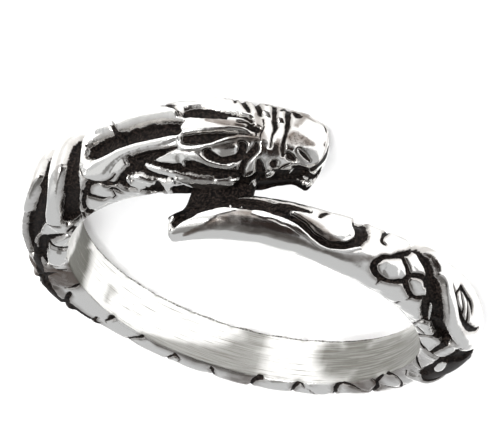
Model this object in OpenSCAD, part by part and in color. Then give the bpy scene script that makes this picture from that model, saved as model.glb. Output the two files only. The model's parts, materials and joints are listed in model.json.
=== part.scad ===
// Open dragon ring, cast in one piece: the body goes once round the finger, from the snout over the
// neck, the plain back band and the scaled shoulder to the tail, which ends beside and below the head.
// Angles run round the finger hole. The head lies at -90 degrees, and the tail passes it at 270.
// Heights are measured along the finger hole from the middle of the back band.

/* [Finger hole] */
// Inside diameter of the ring
inside_d = 18; // [16:0.5:20]

/* [Back band] */
// Width of the band along the finger
band_w = 2.7; // [2.4:0.1:3]
// Thickness of the band from the finger outwards
band_t = 1.6; // [1.4:0.1:1.9]

/* [Head] */
// Width of the head at the cheeks
head_w = 4.1; // [3.8:0.1:4.4]
// Height of the head above the finger
head_t = 3.4; // [3:0.1:3.6]
// Depth of the channel between the two horns
channel_depth = 0.6; // [0.2:0.1:0.8]
// Depth of the eye sockets
socket_depth = 0.3; // [0:0.1:0.4]
// Depth of the mouth's cut between the jaws
mouth_depth = 0.7; // [0.2:0.1:0.9]
// Height of the nose bulb over the bridge of the nose
nose_rise = 0.3; // [0:0.1:0.4]

/* [Shoulders] */
// Thickness of the neck at the dorsal locks
neck_t = 3; // [2.6:0.1:3.2]
// Depth of the hollows beside the dorsal locks
lock_depth = 0.6; // [0.2:0.1:0.7]
// Thickness of the scaled shoulder under the ribbon
body_t = 2.8; // [2.4:0.1:3]
// Depth of the hollows beside the ribbon
ribbon_depth = 0.5; // [0.2:0.1:0.6]

/* [Tail] */
// Width of the tail near its tip
tail_w = 1.9; // [1.6:0.1:2.1]
// Thickness of the tail at its tip
tail_t = 1.2; // [1:0.1:1.4]
// How far the tip's cut slants back on the head's side, in degrees round the finger hole
tail_slant = 6; // [0:1:8]
// Depth of the groove round the leaf fold
leaf_depth = 0.35; // [0.1:0.05:0.45]

/* [Web] */
// Radial thickness of the web that joins the jaw to the tail
web_t = 1.15; // [0.9:0.05:1.3]

/* [How it lies] */
// Lean of the finger hole towards the back, as the ring lies on the head and the back band
rest_tip = 5.45; // [0:0.05:9]
// Lean of the finger hole to the right
rest_roll = 0.1; // [-4:0.05:4]

/* [Hidden] */
inside_r = inside_d / 2;

// Share of a section's thickness that lies between the finger wall and its widest place
SEAT = 0.38;
// Share of the thickness from the widest place inwards, which the finger hole then cuts off
BITE = 0.9;
// How far the uncut section reaches into the finger hole
CUT = 0.7;
// Share of the width that the finger wall has at its edges, and how far over it the side starts
EDGE = 0.93;
LIP = 0.12;
// Angle round the section at which the skin passes into the edge of the finger wall
SIDE = 100;
// Squareness of a section: 2 is an ellipse, and more is squarer
SQUARE = 2.5;

// Sections along the coil: angle, height of the middle, width, thickness
COIL = [
    [-101, -1.85, 0.66 * head_w, 0.82 * head_t],
    [ -94, -1.70, 0.73 * head_w, 0.90 * head_t],
    [ -86, -1.45, 0.83 * head_w, 0.94 * head_t],
    [ -76, -1.22, 0.95 * head_w, 1.00 * head_t],
    [ -64, -1.05, 1.00 * head_w, 1.00 * head_t],
    [ -52, -0.85, 0.93 * head_w, 0.90 * head_t],
    [ -40, -0.60, 3.50, 0.96 * neck_t],
    [ -28, -0.40, 3.36, 0.97 * neck_t],
    [ -14, -0.22, 3.24, 1.02 * neck_t],
    [   0, -0.05, 3.00, 0.93 * neck_t],
    [  14,  0.00, 2.85, 0.83 * neck_t],
    [  30,  0.00, band_w, 1.50 * band_t],
    [  45,  0.00, band_w, 1.22 * band_t],
    [  60,  0.00, band_w, band_t],
    [  90,  0.00, band_w, band_t],
    [ 130,  0.00, band_w, band_t],
    [ 155,  0.05, band_w, 1.22 * band_t],
    [ 172,  0.15, 3.10, 0.90 * body_t],
    [ 188,  0.35, 3.30, body_t],
    [ 204,  0.60, 3.20, 0.93 * body_t],
    [ 222,  1.00, 2.90, 0.80 * body_t],
    [ 240,  1.40, 2.60, 0.68 * body_t],
    [ 260,  1.70, 1.21 * tail_w, 1.42 * tail_t],
    [ 280,  2.05, 1.10 * tail_w, 1.25 * tail_t],
    [ 297,  2.75, 0.95 * tail_w, tail_t]
];
snout_end = COIL[0][0];
tail_end = COIL[len(COIL) - 1][0];
// Length in degrees over which each end rounds off
snout_round = 3;
tail_round = 1;
// Length in degrees over which the sections lean into the tip's slanting cut
slant_reach = 20;
// Thickness that is left at the very end of the snout
end_t = 1.4;

// Forms raised from the surface (+) or sunk in it (-): angle round the finger hole, angle round the
// section (0 is the crown, 90 the tail's side), half length, half width, lean, height
RELIEF = [
    [ -97,   0, 3.0,  46,   0,  nose_rise],          // nose bulb
    [ -90, -51, 6.5,  22,   0,  nose_rise],          // full shoulder of the nose, far side
    [ -87,   5, 1.3,  50,   0, -0.5 * nose_rise],    // wrinkle behind the nose
    [ -77,  48, 4.0,  12,   0, -socket_depth],       // eye socket, tail's side
    [ -77, -44, 4.0,  12,   0, -socket_depth],       // eye socket, far side
    [ -72,  70, 7.0,  10,   0, -socket_depth],       // hollow over the cheek spike
    [ -72, -66, 7.0,  10,   0, -socket_depth],       // the same, far side
    [ -72,  22, 5.5,   7,   0, -0.8 * socket_depth], // groove over the brow
    [ -72, -18, 7.0,   8,   0, -0.8 * socket_depth], // the same, far side
    [ -96,  80, 8.0,  12,   0, -mouth_depth],        // mouth, tail's side
    [ -96, -76, 8.0,  12,   0, -mouth_depth],        // mouth, far side
    [ -52,   8, 13.,  16,   6, -channel_depth],      // channel between the horns
    [ -33,  35, 3.2,  75, -10, -lock_depth],         // hollow before the first lock
    [ -21,  30, 3.0,  52, -12, -lock_depth],         // hollow between the locks
    [ 218,  10, 3.6,  70,  12, -ribbon_depth],       // hollow before the ribbon
    [ 172,  62, 8.5,  18,   0, -ribbon_depth],       // hollow under the ribbon's foot
    [ 205,  12, 5.0,  18,   0, -0.4 * ribbon_depth], // scales beyond the ribbon
    [ 245,   0, 1.6,  45,   0, -leaf_depth],         // crescent round the leaf's end
    [ 256,  28, 6.0,   8,   0, -0.7 * leaf_depth]    // edge of the leaf
];
// Millimetres that one degree round the finger hole is worth at the crown
ALONG = 0.195;
// Millimetres that one degree round a section is worth
ROUND = 0.030;

// Web: first and last angle, lower and upper height
web_from = -85;
web_to = -66;
web_low = -0.6;
web_high = 1.9;

// Steps along the coil and round a section
LENGTH_STEPS = 120;
ROUND_STEPS = 20;
// How far the finger hole's cut reaches to each side, and the angle at which it starts
cut_reach = 8;
bore_seam = 123.7;

// Slope of column c of the coil's table at row i
function slope(i, c) =
    let (lo = max(i - 1, 0), hi = min(i + 1, len(COIL) - 1))
    (COIL[hi][c] - COIL[lo][c]) / (COIL[hi][0] - COIL[lo][0]);

// Row of the table that an angle lies behind
function row_of(turn, i = 0) =
    (i >= len(COIL) - 2 || turn < COIL[i + 1][0]) ? i : row_of(turn, i + 1);

// Column c of the table at any angle, on a smooth curve through the rows
function along_coil(turn, c) =
    let (i = row_of(turn), span = COIL[i + 1][0] - COIL[i][0], t = (turn - COIL[i][0]) / span)
    (2 * t * t * t - 3 * t * t + 1) * COIL[i][c]
    + (t * t * t - 2 * t * t + t) * span * slope(i, c)
    + (3 * t * t - 2 * t * t * t) * COIL[i + 1][c]
    + (t * t * t - t * t) * span * slope(i + 1, c);

// Share of the full section that is left close to an end
function rounding(gap, reach) =
    let (t = min(max(gap / reach, 0.02), 1)) sqrt(1 - (1 - t) * (1 - t));

// Turn of a point whose side is -1 towards the head and 1 away from it, as the tail's tip slants
function slanted(turn, side) =
    turn - tail_slant * pow(max(turn - tail_end + slant_reach, 0) / slant_reach, 2) * (1 - side) / 2;

// A point from its turn, distance from the finger's axis, and height
function placed(turn, r, z) = [r * cos(turn), r * sin(turn), z];

// Share of a full section near the ends of the coil
function closing(turn) = rounding(turn - snout_end, snout_round) * rounding(tail_end - turn, tail_round);
function half_width(turn) = along_coil(turn, 2) / 2 * closing(turn);
function thickness(turn) =
    end_t + (along_coil(turn, 3) - end_t) * (turn < 0 ? closing(turn) : 1);

// Height of all the relief at one place of the skin
function relief(turn, around) =
    let (parts = [for (r = RELIEF)
        let (du = (turn - r[0]) * ALONG, dv = (around - r[1]) * ROUND,
             along = du * cos(r[4]) + dv * sin(r[4]), across = dv * cos(r[4]) - du * sin(r[4]),
             d = pow(along / (r[2] * ALONG), 2) + pow(across / (r[3] * ROUND), 2))
        r[5] * exp(-d * d)])
    parts * [for (p = parts) 1];

// Point of the skin: turn goes round the finger hole, around goes round the section
function skin(turn, around) =
    let (end = closing(turn), half = half_width(turn), thick = thickness(turn),
         ca = cos(around), sa = sin(around),
         q = pow(pow(abs(ca), SQUARE) + pow(abs(sa), SQUARE), -1 / SQUARE),
         lift = relief(turn, around) * end,
         r = inside_r + SEAT * thick + ((ca > 0 ? 1 - SEAT : BITE) * thick * q + lift) * ca,
         z = along_coil(turn, 1) + (half * q + lift) * sa)
    placed(slanted(turn, q * sa), r, z);

// Point on the edge of the finger wall, or inside it where the finger hole is cut; side is -1 or 1
function edge(turn, side, gap) =
    placed(slanted(turn, EDGE * side), inside_r + gap,
           along_coil(turn, 1) + side * EDGE * half_width(turn));

// One section, from the finger hole round the crown and back
function section(turn) = concat(
    [edge(turn, -1, -CUT), edge(turn, -1, LIP)],
    [for (j = [0 : ROUND_STEPS]) skin(turn, SIDE * (2 * j / ROUND_STEPS - 1))],
    [edge(turn, 1, LIP), edge(turn, 1, -CUT)]);

// Middle of a section, on its widest line
function core(turn) =
    placed(slanted(turn, 0), inside_r + SEAT * along_coil(turn, 3), along_coil(turn, 1));

// Angles of the sections, with close ones at both ends
function turns() =
    let (a = snout_end, b = tail_end, n = LENGTH_STEPS)
    concat([a, a + 0.3, a + 1.2],
           [for (i = [1 : n - 1]) a + (b - a) * i / n],
           [b - 0.4, b]);

// A point of the ring as it lies on its side, before it is lifted to the floor
function leaning(p) =
    let (y = p[1] * cos(rest_tip) + p[2] * sin(rest_tip), z = p[2] * cos(rest_tip) - p[1] * sin(rest_tip))
    [p[0] * cos(rest_roll) + z * sin(rest_roll), y, z * cos(rest_roll) - p[0] * sin(rest_roll)];

// All points of the skin, and where the ring goes so that it lies on the middle of the floor
points = [for (turn = turns()) each section(turn)];
lying = [for (p = points) if (norm([p[0], p[1]]) > inside_r) leaning(p)];
function middle(c) = (min([for (p = lying) p[c]]) + max([for (p = lying) p[c]])) / 2;
rest_place = [-middle(0), -middle(1), -min([for (p = lying) p[2]])];

// The whole body from snout to tail as one closed skin
module coil() {
    m = ROUND_STEPS + 5;
    n = len(turns());
    ends = [core(snout_end), core(tail_end)];
    walls = [for (i = [0 : n - 2]) for (j = [0 : m - 1])
        let (a = i * m + j, b = i * m + (j + 1) % m) each [[a, b, b + m], [a, b + m, a + m]]];
    snout_cap = [for (j = [0 : m - 1]) [n * m, (j + 1) % m, j]];
    tail_cap = [for (j = [0 : m - 1]) [n * m + 1, (n - 1) * m + j, (n - 1) * m + (j + 1) % m]];
    polyhedron(concat(points, ends), concat(walls, snout_cap, tail_cap), convexity = 12);
}

// The bridge that the casting leaves between the jaw and the tail
module web() {
    rotate([0, 0, web_from])
        rotate_extrude(angle = web_to - web_from, $fn = 96)
            translate([inside_r - 0.5, web_low])
                square([web_t + 0.5, web_high - web_low]);
}

// The casting, laid as it rests on its side
module ring() {
    color("silver")
        translate(rest_place)
            rotate([-rest_tip, rest_roll, 0])
                difference() {
                    union() {
                        coil();
                        web();
                    }
                    rotate([0, 0, bore_seam])
                        cylinder(r = inside_r, h = 2 * cut_reach, center = true, $fn = 180);
                }
}

ring();
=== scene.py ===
"""Open dragon ring of cast silver. The coil is one flat sheet of quads, refined where it is carved, then
wrapped round the finger hole. All the carving is in tables of strokes, in the ring's own coordinates:
turn is the angle round the finger hole (head at -90, tail passing it at 270), around is the angle round a
section (0 at the crown, 90 on the tail's side), and sizes are in millimetres."""
import json
import math

import bmesh
import bpy
import numpy as np
from mathutils import Matrix, Vector


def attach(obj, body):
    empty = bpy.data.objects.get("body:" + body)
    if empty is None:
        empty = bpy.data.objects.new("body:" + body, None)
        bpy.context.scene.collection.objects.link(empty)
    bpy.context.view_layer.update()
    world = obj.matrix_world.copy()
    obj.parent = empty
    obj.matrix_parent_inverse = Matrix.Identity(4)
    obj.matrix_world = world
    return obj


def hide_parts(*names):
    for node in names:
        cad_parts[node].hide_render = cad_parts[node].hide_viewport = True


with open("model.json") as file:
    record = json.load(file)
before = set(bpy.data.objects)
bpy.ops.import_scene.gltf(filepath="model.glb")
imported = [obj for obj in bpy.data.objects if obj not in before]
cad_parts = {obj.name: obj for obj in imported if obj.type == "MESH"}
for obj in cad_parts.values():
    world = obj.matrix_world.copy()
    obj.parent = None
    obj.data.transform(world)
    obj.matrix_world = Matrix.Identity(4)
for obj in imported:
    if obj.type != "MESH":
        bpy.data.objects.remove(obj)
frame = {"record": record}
scene = bpy.context.scene
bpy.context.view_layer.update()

MM = 0.001
INSIDE_R = 9.0

# The coil's form, as in the part: angle, height of the middle, width, thickness
COIL = np.array([
    (-101, -1.85, 2.71, 2.79),
    (-94, -1.70, 2.99, 3.06),
    (-86, -1.45, 3.40, 3.20),
    (-76, -1.22, 3.90, 3.40),
    (-64, -1.05, 4.10, 3.40),
    (-52, -0.85, 3.81, 3.06),
    (-40, -0.60, 3.50, 2.88),
    (-28, -0.40, 3.36, 2.91),
    (-14, -0.22, 3.24, 3.06),
    (0, -0.05, 3.00, 2.79),
    (14, 0.00, 2.85, 2.49),
    (30, 0.00, 2.70, 2.40),
    (45, 0.00, 2.70, 1.95),
    (60, 0.00, 2.70, 1.60),
    (90, 0.00, 2.70, 1.60),
    (130, 0.00, 2.70, 1.60),
    (155, 0.05, 2.70, 1.95),
    (172, 0.15, 3.10, 2.52),
    (188, 0.35, 3.30, 2.80),
    (204, 0.60, 3.20, 2.60),
    (222, 1.00, 2.90, 2.24),
    (240, 1.40, 2.60, 1.90),
    (260, 1.70, 2.30, 1.70),
    (280, 2.05, 2.09, 1.50),
    (297, 2.75, 1.80, 1.20),
], float)
# A section: the height of its middle and the reach of its lower half, as shares of its thickness, the power
# of its curve (2 is an ellipse), and the angle round it where its side ends
SEAT, BITE, SQUARE, SIDE = 0.38, 0.9, 2.5, 100
SNOUT_END, TAIL_END = -101.0, 297.0
# Degrees of turn over which the ends are rounded, and the thickness that the snout keeps there
SNOUT_ROUND, TAIL_ROUND, END_T = 4.6, 1.0, 1.4
JAW_ROUND, JAW_FROM, JAW_TO = 2.4, 48, 84  # the jaw's front is blunter than the nose's
SLANT, SLANT_REACH = 6.0, 20.0  # degrees that the tail's tip slants, and over how many
# Beyond SIDE the skin runs down to the finger wall over a rounded edge: angle round the section,
# share of the side's height above the finger, share of the half width
EDGE_ANGLE = (100, 108, 114, 118, 121, 125, 180)
EDGE_HEIGHT = (1, 0.66, 0.36, 0.14, 0.04, 0, 0)
EDGE_WIDTH = (0.995, 0.975, 0.955, 0.935, 0.91, 0.86, 0)
RELIEF_ENDS = (118, 125)  # between these the relief fades into the smooth finger wall
# The jaw's underside is hollowed out: angle, and how far
JAW_HOLLOW = np.array([(-101, 0.1), (-98.6, 0.08), (-97, 0.32), (-95, 0.6), (-93.6, 0.6), (-92.2, 0.44),
                       (-90.4, 0.4), (-89, 0.26), (-87.6, 0.08), (-86, 0), (-78, 0)], float)


def curve(x, xs, ys):
    """Smooth curve through the points (xs, ys), at x."""
    slopes = np.empty(len(xs))
    slopes[1:-1] = (ys[2:] - ys[:-2]) / (xs[2:] - xs[:-2])
    slopes[0], slopes[-1] = (ys[1] - ys[0]) / (xs[1] - xs[0]), (ys[-1] - ys[-2]) / (xs[-1] - xs[-2])
    i = np.clip(np.searchsorted(xs, x) - 1, 0, len(xs) - 2)
    span = xs[i + 1] - xs[i]
    t = (x - xs[i]) / span
    return ((2 * t**3 - 3 * t**2 + 1) * ys[i] + (t**3 - 2 * t**2 + t) * span * slopes[i]
            + (3 * t**2 - 2 * t**3) * ys[i + 1] + (t**3 - t**2) * span * slopes[i + 1])


def rounding(gap, reach):
    t = np.clip(gap / reach, 0, 1)
    return np.sqrt(1 - (1 - t) ** 2)


def skin(turn, around, lift=0.0):
    """Points of the surface in millimetres, lifted off it by lift."""
    middle, width, thickness = (curve(turn, COIL[:, 0], column) for column in COIL.T[1:])
    snout = np.interp(around, (JAW_FROM, JAW_TO), (SNOUT_ROUND, JAW_ROUND))
    end = rounding(turn - SNOUT_END, snout) * rounding(TAIL_END - turn, TAIL_ROUND)
    thick = END_T + (thickness - END_T) * np.where(turn < 0, end, 1)
    beyond = np.abs(around)
    side = np.sign(around)
    a = np.radians(np.clip(around, -SIDE, SIDE))
    ca, sa = np.cos(a), np.sin(a)
    q = (np.abs(ca) ** SQUARE + np.abs(sa) ** SQUARE) ** (-1 / SQUARE)
    height = SEAT * thick + np.where(ca > 0, 1 - SEAT, BITE) * thick * q * ca
    height = height * np.interp(beyond, EDGE_ANGLE, EDGE_HEIGHT)
    across = np.where(beyond <= SIDE, q * sa, side * np.interp(beyond, EDGE_ANGLE, EDGE_WIDTH))
    lift = lift * end * np.interp(beyond, RELIEF_ENDS, (1, 0))
    hollow = np.interp(turn, JAW_HOLLOW[:, 0], JAW_HOLLOW[:, 1])
    r = np.maximum(INSIDE_R + height + lift * ca, INSIDE_R + hollow)
    z = middle + width / 2 * end * across + lift * sa
    lean = np.maximum(turn - TAIL_END + SLANT_REACH, 0) / SLANT_REACH
    bearing = np.radians(turn - SLANT * lean**2 * (1 - across) / 2)
    return np.stack([r * np.cos(bearing), r * np.sin(bearing), z], -1)


# The carving. Each stroke is (kind, level or depth, [(turn, around, half width in mm), ...]).
# A field is sunk to its level and blackened. A ridge is a rounded form that rises to its level and is
# polished bright, and a flat is the same with a level top and short slopes. A line is a groove cut to its
# depth below what is there, and blackened. A stain blackens without cutting: sulphide in some places,
# painted shade and dark reflection in others. A haze is a grey film of painted shade and dark reflection.
FIELD, RIDGE, FLAT, LINE, STAIN_AND_SHADE, PAINTED_SHADE = "field", "ridge", "flat", "line", "stain_and_shade", "painted_shade_and_film"
LYING_LEVEL = -0.02


def mirrored(strokes, middle):
    """The same strokes on the far side of the head, mirrored about that angle round the section. The far
    side lies on the floor, so nothing rises there."""
    return [(kind, min(level, LYING_LEVEL) if kind in (RIDGE, FLAT) else level,
             [(t, 2 * middle - a, w) for t, a, w in points]) for kind, level, points in strokes]


EYE = [
    # socket, from the inner corner over the eyeball to the outer corner
    (FIELD, -.34, [(-80.2, 25, .17), (-80.4, 34, .18), (-79.6, 43, .2), (-77, 48, .2),
        (-74.4, 46.5, .23), (-72.9, 40, .19), (-72.4, 34, .08)]),
    # eyeball, which turns down from under the upper lid
    (FLAT, -.08, [(-78.6, 34.5, .16), (-77.3, 36.4, .2), (-76, 37.6, .22), (-74.8, 35, .16),
        (-73.4, 32.4, .08)]),
    (RIDGE, .04, [(-78.8, 29, .2), (-77.2, 29, .32), (-75.6, 29, .34), (-74, 28.5, .22)]),
    # lower lid, which widens into the cheek
    (FLAT, .05, [(-79.2, 52.5, .08), (-77.4, 57, .15), (-75.3, 56, .14), (-73.1, 52.6, .15),
        (-71.4, 48.3, .16), (-69.9, 44.5, .19), (-68, 43.4, .19), (-66, 45, .28), (-63.9, 46.4, .22),
        (-61.7, 47.5, .13), (-60.4, 47.8, .05)]),
    (FLAT, .02, [(-66.4, 47, .14), (-67, 54, .09), (-67.1, 58, .05)]),
]
CHEEK = [
    (FIELD, -.4, [(-79.6, 74, .28), (-77, 72, .36), (-74, 69.5, .42), (-71, 65, .5), (-68.3, 62, .4),
        (-65.5, 63, .26), (-63, 60, .2), (-60, 56, .14), (-57, 52.5, .1)]),
    (FIELD, -.4, [(-64.8, 84, .14), (-61.5, 79, .3), (-58.5, 73, .34), (-55.5, 62, .45), (-53.5, 52, .4),
        (-52.3, 45, .2)]),
    (FIELD, -.34, [(-62, 42, .13), (-59, 44, .2), (-55, 48, .32)]),
    # the long spike, whose face turns out towards the crown
    (FLAT, .04, [(-79.9, 82, .09), (-77.8, 87.5, .17), (-75.3, 90.5, .25), (-72.4, 91, .29),
        (-69.9, 87.6, .27), (-67.4, 81.4, .23), (-64.9, 74, .22), (-62.8, 69, .23), (-60.3, 63.4, .21),
        (-58.1, 57.9, .16), (-57.2, 54, .09)]),
    (RIDGE, .22, [(-79, 87.5, .1), (-76.4, 93.5, .38), (-72.4, 95.5, .48), (-69, 90.5, .4),
        (-66, 82, .28), (-64.4, 77, .12)]),
]
BROW = [
    (FIELD, -.3, [(-78, 10, .06), (-75, 14.5, .13), (-72, 20, .25), (-69.5, 22, .27), (-67.3, 22.5, .18)]),
    (RIDGE, .14, [(-85, 13, .08), (-82, 13, .13), (-80, 14, .16), (-77.6, 17.5, .18), (-76, 21.5, .17),
        (-74, 27, .15), (-72, 30.4, .15), (-70, 32.6, .16), (-68, 34, .17), (-66.2, 32, .13)]),
    (RIDGE, .1, [(-66.4, 34, .1), (-65.9, 26, .09), (-66.2, 16, .09)]),
    # painted shade of the brow over the upper lid, and the brow's painted dark reflection
    (PAINTED_SHADE, 1, [(-79, 20, .14), (-77.8, 26, .22), (-76, 29.5, .18), (-74, 31.5, .12)]),
    (PAINTED_SHADE, .7, [(-71, 37, .12), (-69, 38, .2), (-67, 37, .14)]),
    (PAINTED_SHADE, 1, [(-84.6, 13, .2), (-82, 13.5, .3), (-79.6, 15.5, .32), (-77.6, 19, .2)]),
]
MOUTH = [
    (FIELD, -.5, [(-99.3, 66, .3), (-97, 72, .5), (-93, 78, .62), (-88, 80, .62), (-84.6, 84, .5),
        (-81, 88, .5)]),
    (FIELD, -.3, [(-96.2, 53.5, .09), (-94.7, 54, .16), (-93.2, 53.5, .1)]),
    (FIELD, -.3, [(-98, 106, .4), (-92, 106, .45), (-84, 108, .45), (-76, 107, .42), (-68, 106, .36),
        (-62, 106, .3)]),
    # black rim of the jaw, down to the finger wall
    (STAIN_AND_SHADE, 1, [(-100, 112, .3), (-92, 119, .45), (-84, 121, .5), (-76, 121, .5), (-66, 118, .4),
        (-60, 115, .22)]),
]
NOSE = [
    # full shoulder on the far side
    (RIDGE, .26, [(-86, -49, .5), (-82, -49, .62), (-77, -49, .6), (-71, -47, .5)]),
    (RIDGE, .38, [(-96.6, -46, .6), (-93, -50, .9), (-88, -51, .95), (-84.6, -51, .8)]),
    # side under the bulb, the bulb, and the swelling between it and the first wrinkle
    (RIDGE, .2, [(-97.4, 20, .6), (-95.2, 19, .85), (-93.4, 17, .7)]),
    (RIDGE, .2, [(-96.3, 4, .8), (-96.2, -20, .95), (-96.4, -44, .7)]),
    (RIDGE, .08, [(-90.6, 24, .3), (-90.7, 0, .45), (-90.6, -30, .4)]),
]
CHANNEL = [  # between the horns
    (FIELD, -.62, [(-64.6, 5, .34), (-62, 5, .42), (-57, 5, .52), (-52, 6, .56), (-48, 9, .6),
        (-44, 11, .6), (-41, 11, .54), (-39.6, 11, .4)]),
]
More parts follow.
